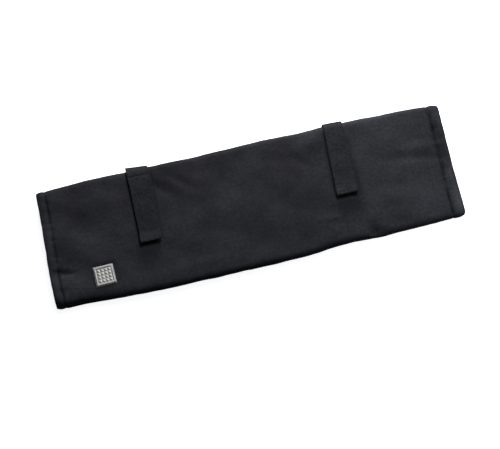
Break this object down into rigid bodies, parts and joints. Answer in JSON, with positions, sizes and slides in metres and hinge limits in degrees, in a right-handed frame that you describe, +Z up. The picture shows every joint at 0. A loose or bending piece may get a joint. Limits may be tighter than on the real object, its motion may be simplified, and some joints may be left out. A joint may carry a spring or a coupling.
{
  "type": "chef knife roll",
  "caption": "Rolled-up soft case of dark pack cloth for kitchen knives, held shut by webbing straps over one long side, with a small square metal badge on top.",
  "frame": {"origin": "under the middle of the closed roll's overall box, on the surface that it lies on", "axes": "+X along the roll, away from the badge's end; +Y to the back fold that the straps come over; +Z up"},
  "size_m": [0.503, 0.1566, 0.0242],
  "materials": {
    "pack_cloth": "matt plain-woven pack cloth, close to black",
    "strap_webbing": "ribbed webbing with a faint sheen",
    "closure_tape": "matt pile tape",
    "badge_metal": "satin cast plate with a polished rim"
  },
  "bodies": {
    "root": {"cover": "pack_cloth", "strap_left": "strap_webbing", "strap_right": "strap_webbing", "closure_pad_left": "closure_tape", "closure_pad_right": "closure_tape", "badge": "badge_metal"}
  },
  "joints": []
}
